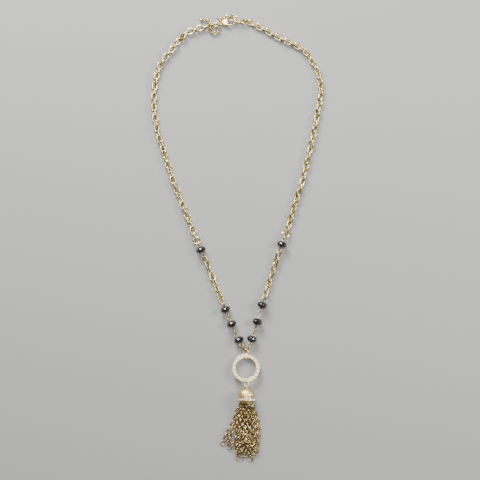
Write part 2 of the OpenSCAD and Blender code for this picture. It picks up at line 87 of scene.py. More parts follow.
# Twist of each long chain along its length: number of the link and degrees
LONG_TWISTS = {
    "left": (
        (0, -8), (3, 0), (8, 90), (10, 88), (12, 64), (16, 56), (18, 74), (20, 52), (22, 82), (24, 48),
        (26, 78), (31, 4), (34, 84), (36, 94), (39, 176), (41, 184), (44, 266),
    ),
    "right": (
        (0, 46), (1, 42), (3, 10), (6, 0), (10, 4), (13, 34), (15, 16), (17, 32), (19, 36), (21, 58),
        (23, 32), (25, 42), (27, 66), (29, 26), (31, 32), (33, 70), (35, 22), (37, 52), (39, 70),
        (41, 34), (43, 42), (45, 32), (47, 68),
    ),
}
# Each long chain's last roll in degrees, how much closer its links lie at the clasp than further on,
# and the least height of its first hook in millimetres
LONG_ENDS = {"left": (90, 0.03, 0.0), "right": (68, 0.02, 2.4)}
# Where the pieces below the long chains hook into each other, points X, Y, Z
HOOKS = {
    "left": (
        (-31.5, -3.5, 3.9), (-26, -15, 4.5), (-11.5, -51.5, 4.4), (-6.5, -62.5, 4.2),
        (-1.5, -75.5, 4.2), (4.2, -86, 4.2), (6.1, -89.5, 1.4),
    ),
    "right": (
        (38, 1.5, 3.9), (33.5, -11, 4.5), (21.8, -47.5, 4.4), (18.4, -58.5, 4.2), (14, -74, 4.2),
        (9.8, -86, 4.2), (7.9, -89.5, 1.4),
    ),
}
# Each bead: its upper hook, and its distance from that hook
BEADS = {
    "left": ((0, 6.3), (2, 5.6), (3, 6.1), (4, 6.2)),
    "right": ((0, 6.6), (2, 5.7), (3, 8.1), (4, 6.4)),
}
# Rolls of the eyes at the upper and lower end of each pin, in degrees
EYE_ROLLS = {
    "left": ((90, -50), (55, 85), (-5, 85), (-5, -10)),
    "right": ((90, 45), (-50, 85), (-5, 15), (105, -10)),
}
# Rolls of the short chains' links, in degrees
SHORT_ROLLS = {
    "left": (40, -50, 50, -20, 45, -55, 35, -35),
    "right": (-45, 50, -35, 45, -50, 30, -50, 45),
}
# Extension chain from the ring on the hook to its free end
EXTENSION_ROUTE = (
    (-0.6, 172.8, 4.4), (-0.8, 175, 4.8), (-2, 177, 4), (-4, 177.8, 2.6), (-6.8, 177.6, 1.8),
    (-9.2, 176.8, 1.7), (-11.5, 175.8, 2), (-14, 174.8, 3.6), (-15.4, 172.8, 5.2),
    (-15.6, 170.5, 5.5), (-15.4, 168.8, 4.6), (-15.1, 166.8, 3.2), (-16.1, 164.8, 2),
    (-18.3, 163.9, 1.8), (-20.5, 164.8, 2.5), (-21.4, 167.1, 3.7), (-21, 168.8, 5.1),
    (-21, 170.8, 5.5), (-22.2, 173, 4.2), (-24, 174.4, 2.6), (-26, 174.8, 1.7),
)
# Strands of the tassel's fine chain from its head down, where a point X, Y lies at this height
LYING_STRAND = 1.9
STRAND_ROUTES = (
    ((4.5, -130, 6.6), (2.5, -132.5, 6.2), (0, -138, 3.4), (-2, -144), (-5, -150.5),
     (-8, -155.5), (-9.3, -159, 1.7), (-10.3, -161.8, 1)),
    ((5.4, -130, 5.2), (4, -132.5, 4.4), (1.2, -139.5), (-1, -147), (-3.4, -152, 4.2),
     (-5.8, -157.5, 3.8), (-6.6, -161.5, 2.2), (-6.3, -164.6, 1.2)),
    ((5.4, -130, 8), (4.2, -132.5, 7.6), (2.4, -140, 5), (0.6, -148, 4.8), (0.2, -155.5, 3),
     (-0.8, -161, 2), (-4.6, -165.2, 1.2)),
    ((6.2, -130, 4.4), (5.6, -133, 3.6), (4, -141), (2.4, -151), (1, -159),
     (-0.4, -166), (0.1, -173.3, 1)),
    ((6.6, -130, 6.2), (6, -133, 5.8), (5.4, -141, 4.8), (4.4, -151, 4.8), (3.2, -160, 4.6),
     (2.6, -168, 3.6), (1.4, -173.3, 1.6)),
    ((7.6, -130, 9.2), (7.4, -132.5, 8.6), (7, -141, 6.8), (6.4, -150, 5.4), (5.8, -160, 4.8),
     (4.8, -167, 3.4), (5.2, -172)),
    ((7.8, -130, 4.3), (8, -133, 3.4), (7.6, -141), (7, -151), (6.8, -160),
     (7.4, -167), (6.6, -171.8, 1.2)),
    ((8.6, -130, 6.2), (9, -133, 5.8), (9.6, -141, 4.8), (9.6, -151, 4.8), (9.6, -160, 4.6),
     (10, -168, 3.4), (10.4, -174, 1.6)),
    ((9.2, -130, 4.5), (9.8, -133, 3.7), (11.2, -141), (12, -151), (12, -160),
     (12.6, -168), (11.8, -173.8, 1)),
    ((10, -130, 8), (10.6, -132.5, 7.6), (12.4, -140, 5), (14, -149, 4.8), (14.4, -158, 4.6),
     (14, -166, 3), (14, -172.5)),
    ((11, -130, 6.4), (12, -132.5, 5.6), (14.4, -139, 3), (16.4, -146), (17.2, -153),
     (16.6, -160), (15.8, -167), (15.6, -171)),
    ((5.6, -130, 7.2), (4.4, -134, 6.4), (3.2, -141, 5.8), (2.2, -149, 5.2), (2.4, -157, 4.6),
     (1, -164, 3.6), (-0.6, -170, 2)),
    ((7, -130, 9), (5.8, -134, 8), (5.2, -142, 6.4), (5.4, -149, 5.8), (6.2, -155, 5.8),
     (8.6, -161, 5.8), (11, -164.6, 5.2), (13.2, -163.4, 4.4)),
    ((8.4, -130, 9), (8.8, -134, 8.2), (9.4, -141, 6.8), (8.4, -149, 5.8), (7.8, -156, 5.2),
     (8.4, -163, 4.2), (7.4, -170.5, 2.4)),
    ((10.4, -130, 7), (12, -134, 6.2), (13.8, -141, 4.8), (15.6, -148, 3.2), (15.6, -155, 3.4),
     (15.6, -162, 3), (13.4, -169, 2.2)),
)
# Rings at the strands' ends: middle X, Y, Z, outer diameter and roll
STRAND_RINGS = (
    (-11.4, -163.5, 0.7, 4.7, 8), (-6.2, -166.5, 0.75, 4.7, -10), (0.7, -175.1, 0.7, 4.6, 8),
    (10.9, -175.8, 0.75, 4.7, -8), (6.2, -173.3, 0.8, 3.8, 14), (14.6, -171.6, 1.2, 4.2, 30),
)
# Middle of the ring's back, of the cap's top and of the clasp's eye, and the clasp's heading
RING_MIDDLE = (7.2, -103.6, 2.5)
CAP_TOP = (7.6, -120.4, 5.85)
CLASP_EYE = (-12.8, 172, 2.6)
CLASP_HEADING = 4.5
# Height of the upper edge of the cap's band, from the cap's top
BAND_TOP = -7.1
# Length, width and wire of the cap's eye, and height of its middle over the cap's top
CAP_EYE = (4.4 * MM, 3 * MM, 0.8 * MM)
CAP_EYE_HEIGHT = 1.95
# Lamps: name, place, size and power
LAMPS = (
    ("overhead", (0.0, 0.25, 1.6), 0.8, 17),
    ("key", (-0.25, 0.72, 0.52), 0.42, 20),
    ("fill", (0.6, 0.1, 0.5), 0.25, 5),
)


def length(name, description, millimetres):
    """A length that the user may change, given in millimetres."""
    return FloatProperty(name=name, description=description, default=millimetres * MM,
                         min=0.1 * MM, soft_max=100 * MM, unit="LENGTH", precision=5)


def colour(name, description, rgb):
    """A colour that the user may change."""
    return FloatVectorProperty(name=name, description=description, default=rgb, size=3,
                               min=0.0, max=1.0, subtype="COLOR")


def angle(name, description, degrees):
    """An angle that the user may change, given in degrees."""
    return FloatProperty(name=name, description=description, default=math.radians(degrees),
                         unit="ROTATION", subtype="ANGLE")


def number_of(name, description, number, least=2):
    """A number of pieces that the user may change."""
    return IntProperty(name=name, description=description, default=number, min=least)


class ChainSizes(PropertyGroup):
    """Sizes of the long and short chains and their end rings"""
    wire: length("Wire", "Wire of the long chains", 1.3)
    width: length("Width", "Outer width of a long chain's link", 5.4)
    plating: length("Plating", "Thickness added to a heavy link's wire", 0.18)
    left_links: number_of("Left links", "Links in the left chain", 46)
    right_links: number_of("Right links", "Links in the right chain", 48)
    end_wire: length("End ring wire", "Wire of the ring at the end of a long chain", 1.35)
    short_wire: length("Short chain wire", "Wire of the short chains", 1.0)
    short_width: length("Short chain width", "Outer width of a short chain's link", 4.9)
    short_plating: length("Short chain plating", "Thickness added to a short link's wire", 0.42)
    short_links: number_of("Short links", "Links in a short chain", 8)
    play: length("Play", "Play between two wires that hook into each other", 0.22)


class BeadSizes(PropertyGroup):
    """Sizes of the beads and of their pins"""
    diameter: length("Bead diameter", "Diameter of a bead over its rim", 8.4)
    length: length("Bead length", "Length of a bead along its pin", 5.0)
    bore: length("Bore", "Hole through a bead", 1.2)
    pin_wire: length("Pin wire", "Wire of an eye pin", 0.8)
    eye_width: length("Eye width", "Outer width of a pin's eyes", 3.7)
    drop_width: length("Drop link width", "Outer width of the link under the beads", 4.0)


class RingSizes(PropertyGroup):
    """Sizes of the ring of stones"""
    diameter: length("Diameter", "Outer diameter of the ring", 22.5)
    band: length("Band", "Width of the ring's band", 3.2)
    height: length("Height", "Height of the ring's band", 2.4)
    stones: number_of("Stones", "Stones round the ring", 20, 8)
    stone: length("Stone", "Diameter of a stone of the ring", 2.45)
    tilt: angle("Slope", "Slope of the ring, whose lower edge the cap holds up", 7.8)


class CapSizes(PropertyGroup):
    """Sizes of the cap and of the tassel in it"""
    length: length("Length", "Length of the cap along its axis", 9.6)
    dome: length("Dome radius", "Largest radius of the cap's dome", 6.5)
    band: length("Band radius", "Radius of the cap's band of stones", 6.95)
    stones: number_of("Stones", "Stones round the cap", 19, 8)
    stone: length("Stone", "Diameter of a stone of the cap", 1.8)
    tilt: angle("Slope", "Slope of the cap's axis, which is lower at its eye", 9.0)
    flutes: number_of("Flutes", "Flutes round the dome", 28, 8)
    strand_wire: length("Strand wire", "Wire of the tassel's fine chain", 0.88)
    strand_width: length("Strand width", "Outer width of the tassel's links", 3.8)


class ClaspSizes(PropertyGroup):
    """Sizes of the clasp and of the small chains beside it"""
    thickness: length("Thickness", "Thickness of the clasp's closed end", 2.6)
    hook: length("Hook", "Thickness of the clasp's hook", 1.5)
    pin: length("Hinge pin", "Radius of the pin on which the lever turns", 0.45)
    wire: length("Small wire", "Wire of the small links beside the clasp", 0.65)
    plating: length("Small plating", "Thickness added to a small link's wire", 0.2)
    extension_links: number_of("Extension links", "Links in the extension chain", 24)


class Finishes(PropertyGroup):
    """Colours of the metals, the beads, the stones and the surface"""
    pale: colour("Pale gold", "Pale polished gold of the chains", (0.81, 0.66, 0.31))
    pale_shade: colour("Pale gold shade", "Pale gold where it is worn and dull", (0.62, 0.46, 0.17))
    gold: colour("Gold", "Yellow gold of the cap, the clasp and the ring's band", (0.85, 0.66, 0.29))
    gold_shade: colour("Gold shade", "Yellow gold where it is worn and dull", (0.66, 0.48, 0.20))
    antique: colour("Antique gold", "Darker gold of the tassel and the pins", (0.67, 0.52, 0.26))
    antique_shade: colour("Antique shade", "Brown of the antique gold's hollows", (0.38, 0.25, 0.09))
    bead: colour("Bead glass", "Near-black glass", (0.006, 0.006, 0.008))
    bead_shade: colour("Bead glass shade", "Brown cast of the black glass", (0.03, 0.018, 0.012))
    # The stone colour and its shade are the bright spots of the stones' painted sparkle and the darker tone
    # between them
    stone: colour("Stone", "Clear stone over foil", (0.84, 0.83, 0.81))
    stone_shade: colour("Stone shade", "Clear stone where its foil is darker", (0.58, 0.57, 0.55))
    floor: colour("Surface", "Pale surface that the necklace lies on", (0.32, 0.318, 0.312))
    floor_shade: colour("Surface shade", "Faint grain of the surface", (0.3104, 0.30846, 0.30264))


def shifted(x, y, z):
    """Moves a part by millimetres."""
    return Matrix.Translation(Vector((x, y, z)) * MM)


def rotated(degrees, axis):
    """Turns a part about an axis by degrees."""
    return Matrix.Rotation(math.radians(degrees), 4, axis)


def in_circle(k, count):
    """Turns a part about Z to its place in a circle of parts."""
    return Matrix.Rotation(2 * math.pi * k / count, 4, "Z")


def between(a, b, roll=0.0):
    """Lays a piece that lies along X from 0 between two points, rolled by degrees."""
    way = b - a
    return (Matrix.Translation(a)
            @ Matrix.Rotation(math.atan2(way.y, way.x), 4, "Z")
            @ Matrix.Rotation(-math.asin(way.z / way.length), 4, "Y")
            @ rotated(roll, "X"))


def curve_point(a, b, c, d, t):
    """Point of a smooth curve through four points, between the second and the third."""
    return 0.5 * (2 * b + (c - a) * t + (2 * a - 5 * b + 4 * c - d) * t * t
                  + (3 * b - a - 3 * c + d) * t * t * t)


def smooth(route, parts=8):
    """A route with a number of points for each of its stretches."""
    last = len(route) - 1
    points = [curve_point(route[max(i - 1, 0)], route[i], route[i + 1], route[min(i + 2, last)],
                          k / parts) for i in range(last) for k in range(parts)]
    return points + [route[last]]


def way_length(points):
    """Length of the way along the points."""
    return sum((b - a).length for a, b in pairwise(points))


def spaced(points, count, stretch=0.0):
    """The hooking points of a number of links laid along a way, closer together at its start by a
    part of their spacing and as much further apart at its end."""
    whole = way_length(points)
    hooks = [points[0].copy()]
    run = 0.0
    for a, b in pairwise(points):
        part = (b - a).length
        while len(hooks) < count:
            u = len(hooks) / count
            goal = whole * (u + stretch * u * (u - 1))
            if run + part < goal:
                break
            hooks.append(a + (b - a) * ((goal - run) / part))
        run += part
    return hooks + [points[-1].copy()]


def route_points(route, height=0.0):
    """A route given in millimetres, as points in metres. A point X, Y lies at the height."""
    return [Vector((*point, height)[:3]) * MM for point in route]


def of_kind(geom, kind=bmesh.types.BMEdge):
    """The elements of a kind among some geometry, its edges unless another kind is named."""
    return [element for element in geom if isinstance(element, kind)]


def mesh_of(name, bm):
    """Makes a mesh of a form, and frees the form."""
    mesh = bpy.data.meshes.new(name)
    bm.to_mesh(mesh)
    bm.free()
    return mesh


def new_object(name, data):
    """Makes an object and links it to the scene."""
    made = bpy.data.objects.new(name, data)
    bpy.context.scene.collection.objects.link(made)
    return made


def finished_piece(name, parts, finish, node, body="necklace"):
    """Joins parts, each with its place, gives the piece its finish and sets it in the frame."""
    material, slot, smooth_angle = finish
    bm = bmesh.new()
    for part, place in parts:
        mesh = mesh_of("part", part)
        mesh.transform(place)
        bm.from_mesh(mesh)
        bpy.data.meshes.remove(mesh)
    bmesh.ops.recalc_face_normals(bm, faces=bm.faces)
    mesh = mesh_of(name, bm)
    mesh.materials.append(material)
    if smooth_angle is not None:
        mesh.shade_smooth()
        mesh.set_sharp_from_angle(angle=math.radians(smooth_angle))
    piece = new_object(name, mesh)
    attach(piece, body)
    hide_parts(node)


def wire_loop(size, width, wire, fineness):
    """A closed loop of round wire with straight sides, along X, with its middle at the origin."""
    steps, sides = fineness
    bend = (width - wire) / 2
    half = max(size - width, 0.0) / 2
    bm = bmesh.new()
    start = Matrix.Translation((half, -bend, 0)) @ rotated(90, "Y")
    bmesh.ops.create_circle(bm, segments=sides, radius=wire / 2, matrix=start)
    ring = list(bm.verts) + list(bm.edges)
    if half < ROUND_LIMIT:
        bmesh.ops.spin(bm, geom=ring, axis=(0, 0, 1), angle=2 * math.pi, steps=2 * steps, use_merge=True)
        return bm
    opening = list(bm.edges)
    last = bmesh.ops.spin(bm, geom=ring, cent=(half, 0, 0), axis=(0, 0, 1), angle=math.pi,
                          steps=steps)["geom_last"]
    drawn = bmesh.ops.extrude_edge_only(bm, edges=of_kind(last))["geom"]
    verts = of_kind(drawn, bmesh.types.BMVert)
    bmesh.ops.translate(bm, vec=(-2 * half, 0, 0), verts=verts)
    last = bmesh.ops.spin(bm, geom=verts + of_kind(drawn), cent=(-half, 0, 0), axis=(0, 0, 1),
                          angle=math.pi, steps=steps)["geom_last"]
    bmesh.ops.bridge_loops(bm, edges=opening + of_kind(last))
    return bm


def wire_ring(width, wire, fineness):
    """A round ring of wire of an outer width, with its middle at the origin."""
    return wire_loop(width, width, wire, fineness)


def link(a, b, width, wire, play, roll, fineness, slack=0.0, plating=0.0):
    """A link that hooks into its neighbours at two points, with its place. Its plating leaves its
    inner length as it is."""
    reach = (b - a).length
    size = max(reach + 2 * wire + play + slack, width)
    loop = wire_loop(size + 2 * plating, width + plating, wire + plating, fineness)
    return loop, between(a, b, roll) @ Matrix.Translation((reach / 2, 0, 0))


def drawn_bar(rows, parts=4, sides=14):
    """A closed bar drawn smoothly through rows of x, y, heading, width and thickness, in millimetres
    and degrees."""
    places = [shifted(x, y, 0) @ rotated(heading, "Z") @ rotated(90, "Y")
              @ Matrix.Diagonal((thickness * MM, width * MM, 1, 1))
              for x, y, heading, width, thickness in smooth([Vector(row) for row in rows], parts)]
    bm = bmesh.new()
    bmesh.ops.create_circle(bm, segments=sides, radius=0.5, matrix=places[0])
    ends = edges = list(bm.edges)
    for before, after in pairwise(places):
        drawn = bmesh.ops.extrude_edge_only(bm, edges=edges)["geom"]
        edges = of_kind(drawn)
        verts = of_kind(drawn, bmesh.types.BMVert)
        bmesh.ops.transform(bm, matrix=after @ before.inverted(), verts=verts)
    bmesh.ops.edgeloop_fill(bm, edges=ends)
    bmesh.ops.edgeloop_fill(bm, edges=edges)
    return bm


def mirrored(profile):
    """A profile of radius and height, and its reverse below."""
    return [*profile, *((r, -z) for r, z in reversed(profile))]


def turned_form(profile, steps):
    """Spins a closed or axis-to-axis profile of radius and height, in millimetres, about Z."""
    bm = bmesh.new()
    verts = [bm.verts.new((r * MM, 0, z * MM)) for r, z in profile]
    edges = [bm.edges.new(pair) for pair in pairwise(verts)]
    if profile[0][0] > 0:
        edges.append(bm.edges.new((verts[-1], verts[0])))
    bmesh.ops.spin(bm, geom=verts + edges, axis=(0, 0, 1), angle=2 * math.pi, steps=steps, use_merge=True)
    bmesh.ops.remove_doubles(bm, verts=bm.verts, dist=MERGE_DISTANCE)
    return bm


def hull_of(points):
    """The convex form round some points, with its flat facets whole."""
    bm = bmesh.new()
    for point in points:
        bm.verts.new(point)
    bmesh.ops.convex_hull(bm, input=list(bm.verts))
    bmesh.ops.delete(bm, geom=[v for v in bm.verts if not v.link_faces], context="VERTS")
    bmesh.ops.dissolve_limit(bm, angle_limit=FLAT_ANGLE, verts=bm.verts, edges=bm.edges)
    return bm


def circle_points(radius, z, count, turn=0.0):
    """Points round the Z axis, turned by a part of their spacing."""
    turns = [2 * math.pi * (k + turn) / count for k in range(count)]
    return [Vector((radius * math.cos(t), radius * math.sin(t), z)) for t in turns]


def lying_height(width, wire, roll):
    """Height of a link's middle when it touches the surface at a roll."""
    return wire / 2 + (width - wire) / 2 * abs(math.sin(math.radians(roll)))


def twist_at(twist, i):
    """Twist of a chain at a link, between the rows of its table."""
    for (low, start), (high, end) in pairwise(twist):
        if i <= high:
            return start + (end - start) * (i - low) / (high - low)
    return twist[-1][1]


def long_chain_hooks(side):
    """Hooking points and rolls of a long chain, each link touching the surface."""
    sizes = bpy.context.scene.y_necklace_chain
    count = sizes.left_links if side == "left" else sizes.right_links
    last_roll, stretch, first_height = LONG_ENDS[side]
    rolls = [twist_at(LONG_TWISTS[side], i) + (0 if i % 2 else 90) for i in range(count - 1)]
    rolls.append(last_roll)
    heights = [lying_height(sizes.width, sizes.wire, roll) for roll in rolls]
    points = spaced(smooth(route_points(LONG_ROUTES[side])), count, stretch)
    for k, point in enumerate(points):
        above = heights[min(max(k - 1, 0), count - 2)]
        below = heights[min(max(k, 1), count - 1)]
        least = 0.0 if k else first_height * MM
        point.z = max(above, below, least) + sizes.plating / 2
    return points, rolls


def hooks_of(side):
    """Hooking points below a long chain."""
    return route_points(HOOKS[side])


def bead_hooks():
    """Each bead's side and number, the hooks above and below it, and its distance from the upper."""
    for side, beads in BEADS.items():
        hooks = hooks_of(side)
        for k, (hook, distance) in enumerate(beads, 1):
            yield side, k, hooks[hook], hooks[hook + 1], distance


def finish_nodes(name):
    """A new material with its shader and Object coordinates, or only the material if it exists."""
    material = bpy.data.materials.get(name)
    if material:
        return material, None, None, None
    material = bpy.data.materials.new(name)
    material.use_nodes = True
    nodes = material.node_tree.nodes
    shader = next(n for n in nodes if n.type == "BSDF_PRINCIPLED")
    place = nodes.new("ShaderNodeTexCoord")
    return material, material.node_tree, shader, place.outputs["Object"]


def set_inputs(node, values):
    """Sets the inputs of a node by their names."""
    for key, value in values.items():
        node.inputs[key].default_value = value


def noise(tree, place, scale, detail=2.0, roughness=0.5):
    """A cloudy pattern, with its scale in patches per metre."""
    node = tree.nodes.new("ShaderNodeTexNoise")
    set_inputs(node, {"Scale": scale, "Detail": detail, "Roughness": roughness})
    tree.links.new(place, node.inputs["Vector"])
    return node.outputs["Fac"]


def graded(tree, value, low, high, at_low, at_high):
    """Turns a pattern's value from low to high into another range."""
    node = tree.nodes.new("ShaderNodeMapRange")
    set_inputs(node, {"From Min": low, "From Max": high, "To Min": at_low, "To Max": at_high})
    tree.links.new(value, node.inputs["Value"])
    return node.outputs["Result"]


def tinted(tree, shader, value, key):
    """Colours the surface by a pattern, from one of the finishes' colours to its shade."""
    colours = bpy.context.scene.y_necklace_finish
    node = tree.nodes.new("ShaderNodeMix")
    node.data_type = "RGBA"
    set_inputs(node, {"A": (*getattr(colours, key), 1), "B": (*getattr(colours, key + "_shade"), 1)})
    tree.links.new(value, node.inputs["Factor"])
    tree.links.new(node.outputs["Result"], shader.inputs["Base Color"])


def dented(tree, shader, height, depth):
    """Raises the surface by a pattern, to a depth in metres."""
    node = tree.nodes.new("ShaderNodeBump")
    set_inputs(node, {"Distance": depth})
    tree.links.new(height, node.inputs["Height"])
    tree.links.new(node.outputs["Normal"], shader.inputs["Normal"])


def plated_gold(name, key, gloss, wear=(420, 3), patches=(0.4, 0.7, 0, 0.6), grain=(900, 2), depth=0.02):
    """Plated gold with duller worn patches, of a roughness between two limits, and a fine grain to a
    depth in millimetres."""
    material, tree, shader, place = finish_nodes(name)
    if tree:
        worn = noise(tree, place, *wear)
        tinted(tree, shader, graded(tree, worn, *patches), key)
        tree.links.new(graded(tree, worn, 0.35, 0.7, *gloss), shader.inputs["Roughness"])
        dented(tree, shader, noise(tree, place, *grain), depth * MM)
        set_inputs(shader, {"Metallic": 1.0})
    return material


# A finish is its material, its slot in the record, and the angle in degrees past which its edges stay
# sharp, or None where every facet is flat
def pale_gold():
    """Pale polished gold of the chains."""
    return plated_gold("pale_gold", "pale", (0.14, 0.24)), "gold", 75


def yellow_gold():
    """Yellow polished gold of the clasp."""
    return plated_gold("yellow_gold", "gold", (0.16, 0.28)), "gold", 50


def satin_gold():
    """Yellow gold with a soft sheen, of the cast cap and the ring's band."""
    return plated_gold("satin_gold", "gold", (0.36, 0.48)), "gold", 40


def antique_gold():
    """Darker gold of the tassel and the pins, brown in its hollows."""
    material = plated_gold("antique_gold", "antique", (0.2, 0.42), wear=(520, 5, 0.65),
                           patches=(0.40, 0.66, 0, 1), grain=(1100, 3), depth=0.04)
    return material, "dark_gold", 75


def bead_glass():
    """Near-black glass with a slightly uneven fire-polished gloss."""
    material, tree, shader, place = finish_nodes("bead_glass")
    if tree:
        gloss = noise(tree, place, 600, 3)
        tinted(tree, shader, graded(tree, gloss, 0.4, 0.7, 0, 1), "bead")
        tree.links.new(graded(tree, gloss, 0.3, 0.7, 0.04, 0.16), shader.inputs["Roughness"])
        set_inputs(shader, {"IOR": 1.62, "Coat Weight": 0.6, "Coat Roughness": 0.05})
    return material, "black_glass", None


def foiled_stone():
    """Clear cut stone over bright foil, with a painted sparkle of small bright spots that fade to a darker
    tone between them.
    """
    material, tree, shader, place = finish_nodes("foiled_stone")
    if tree:
        # Painted sparkle: small cells, brightest at their middles and darker towards their edges, stand in
        # for glints on the facets
        sparkle_cells = tree.nodes.new("ShaderNodeTexVoronoi")
        set_inputs(sparkle_cells, {"Scale": 900})
        tree.links.new(place, sparkle_cells.inputs["Vector"])
        tinted(tree, shader, graded(tree, sparkle_cells.outputs["Distance"], 0.15, 0.75, 0, 1), "stone")
        gloss = noise(tree, place, 1500)
        tree.links.new(graded(tree, gloss, 0.3, 0.7, 0.03, 0.12), shader.inputs["Roughness"])
        set_inputs(shader, {"Metallic": 0.3, "IOR": 1.7})
    return material, "clear_stone", None


def surface_paper():
    """Plain pale surface with a very faint grain."""
    material, tree, shader, place = finish_nodes("surface_paper")
    if tree:
        tinted(tree, shader, noise(tree, place, 60, 4), "floor")
        set_inputs(shader, {"Roughness": 0.85})
    return material


class LongChains(Operator):
    """Make the two long chains of heavy oval links"""
    bl_idname = "y_necklace.long_chains"
    bl_label = "Long chains"

    def execute(self, context):
        sizes = context.scene.y_necklace_chain
        for side in SIDES:
            points, rolls = long_chain_hooks(side)
            links = [link(a, b, sizes.width, sizes.wire, sizes.play, roll, HEAVY_LINK,
                          plating=sizes.plating) for (a, b), roll in zip(pairwise(points), rolls)]
            finished_piece(f"long_chain_{side}", links, pale_gold(), f"chain_{side}")
        return {"FINISHED"}


class EndRings(Operator):
    """Make the round ring at the lower end of each long chain"""
    bl_idname = "y_necklace.end_rings"
    bl_label = "End rings"

    def execute(self, context):
        sizes = context.scene.y_necklace_chain
        for side in SIDES:
            a = long_chain_hooks(side)[0][-1]
            b = hooks_of(side)[0]
            reach = (b - a).length
            width = reach + 2 * sizes.end_wire + sizes.play + sizes.plating
            ring = wire_ring(width, sizes.end_wire + sizes.plating, END_RING)
            place = between(a, b) @ Matrix.Translation((reach / 2, 0, 0))
            finished_piece(f"end_ring_{side}", [(ring, place)], pale_gold(), f"end_loop_{side}")
        return {"FINISHED"}


class ShortChains(Operator):
    """Make the short chain between the first and the second bead on each side"""
    bl_idname = "y_necklace.short_chains"
    bl_label = "Short chains"

    def execute(self, context):
        sizes = context.scene.y_necklace_chain
        count = sizes.short_links
        end_height, fall, least_height = 4.45, 0.85, 2.4
        for side in SIDES:
            a, b = hooks_of(side)[1:3]
            points = [a + (b - a) * k / count for k in range(count + 1)]
            for k, point in enumerate(points):
                point.z = max(least_height, end_height - fall * min(k, count - k)) * MM
            rolls = SHORT_ROLLS[side]
            links = [link(*points[k:k + 2], sizes.short_width, sizes.short_wire, sizes.play,
                          rolls[k % len(rolls)], HEAVY_LINK, plating=sizes.short_plating)
                     for k in range(count)]
            finished_piece(f"bead_chain_{side}", links, pale_gold(), f"short_chain_{side}")
        return {"FINISHED"}


def faceted_bead(sizes):
    """A bead cut in rows of facets, drilled along Z."""
    end, sides, softened = 0.27, 12, 0.07 * MM
    # Rows of corners: parts of the bead's length, of its diameter and of the corners' spacing
    rows = ((-0.5, end, 0), (-0.27, 0.43, 0.5), (0, 0.5, 0), (0.27, 0.43, 0.5), (0.5, end, 0))
    hole = sizes.bore / 2 + 0.15 * MM
    bm = hull_of([p for z, r, turn in rows
                  for p in circle_points(sizes.diameter * r, sizes.length * z, sides, turn)])
    faces = [f for f in bm.faces if abs(f.normal.z) > 0.99]
    bmesh.ops.inset_individual(bm, faces=faces, thickness=end * sizes.diameter - hole)
    for face in faces:
        for vert in face.verts:
            flat = Vector((vert.co.x, vert.co.y, 0))
            flat.length = hole
            vert.co = Vector((flat.x, flat.y, vert.co.z))
    rims = [edge for face in faces for edge in face.edges]
    bmesh.ops.delete(bm, geom=faces, context="FACES_ONLY")
    bmesh.ops.bridge_loops(bm, edges=rims)
    cut_edges = [e for e in bm.edges if all(v.co.xy.length > sizes.bore for v in e.verts)]
    bmesh.ops.bevel(bm, geom=cut_edges, offset=softened, offset_type="OFFSET", segments=1,
                    profile=0.5, affect="EDGES", material=-1)
    return bm


class Beads(Operator):
    """Make the eight black faceted beads"""
    bl_idname = "y_necklace.beads"
    bl_label = "Beads"

    def execute(self, context):
        sizes = context.scene.y_necklace_beads
        for side, k, a, b, distance in bead_hooks():
            parts = [(faceted_bead(sizes), between(a, b) @ shifted(distance, 0, 0) @ rotated(90, "Y"))]
            finished_piece(f"faceted_bead_{side}_{k}", parts, bead_glass(), f"bead_{side}_{k}")
        return {"FINISHED"}


class EyePins(Operator):
    """Make the pin through each bead, with an eye at each end"""
    bl_idname = "y_necklace.eye_pins"
    bl_label = "Eye pins"

    def execute(self, context):
        sizes = context.scene.y_necklace_beads
        wire = sizes.pin_wire
        tip = (wire + context.scene.y_necklace_chain.play) / 2
        eye_size = sizes.eye_width + 0.3 * MM
        eye_middle = (eye_size - wire) / 2 - tip
        shank = eye_size - wire - tip
        taper = 0.15 * MM
        thick = 0.92 * wire
        thin = 0.6 * thick
        for side, k, a, b, _distance in bead_hooks():
            reach = (b - a).length
            place = between(a, b)
            stations = ((shank, thin), (shank + taper, thick), (reach - shank - taper, thick),
                        (reach - shank, thin))
            rows = [(x / MM, 0, 0, width / MM, width / MM) for x, width in stations]
            parts = [(wire_loop(eye_size, sizes.eye_width, wire, EYE),
                      place @ Matrix.Translation((x, 0, 0)) @ rotated(roll, "X"))
                     for x, roll in zip((eye_middle, reach - eye_middle), EYE_ROLLS[side][k - 1])]
            parts.append((drawn_bar(rows, parts=1, sides=10), place))
            finished_piece(f"eye_pin_{side}_{k}", parts, antique_gold(), f"pin_{side}_{k}")
        return {"FINISHED"}


class DropLinks(Operator):
    """Make the narrow link from the last eye on each side to the ring of stones"""
    bl_idname = "y_necklace.drop_links"
    bl_label = "Drop links"

    def execute(self, context):
        sizes = context.scene.y_necklace_beads
        play = context.scene.y_necklace_chain.play
        roll, slack = 80, 0.12 * MM
        for side in SIDES:
            links = [link(*hooks_of(side)[-2:], sizes.drop_width, sizes.pin_wire, play, roll, EYE, slack)]
            finished_piece(f"narrow_link_{side}", links, antique_gold(), f"drop_link_{side}")
        return {"FINISHED"}


def ring_place():
    """Place of the ring of stones: the middle of its back face."""
    tilt = bpy.context.scene.y_necklace_ring.tilt
    return shifted(*RING_MIDDLE) @ Matrix.Rotation(-tilt, 4, "X")


def cap_place():
    """Place of the cap: the middle of its top, hanging down along -Z."""
    tilt = bpy.context.scene.y_necklace_cap.tilt
    return shifted(*CAP_TOP) @ Matrix.Rotation(-math.pi / 2 - tilt, 4, "X")


def cut_stone(diameter, height):
    """A stone with a table, crown facets, a girdle and a foot, its table up and its foot at 0."""
    # Rows of corners: parts of the diameter and of the height, number and turn
    rows = ((0.27, 1, 8, 0), (0.40, 0.83, 8, 0.5), (0.5, 0.58, 16, 0), (0.5, 0.50, 16, 0), (0.28, 0, 8, 0))
    return hull_of([p for r, z, sides, turn in rows
                    for p in circle_points(r * diameter, z * height, sides, turn)])


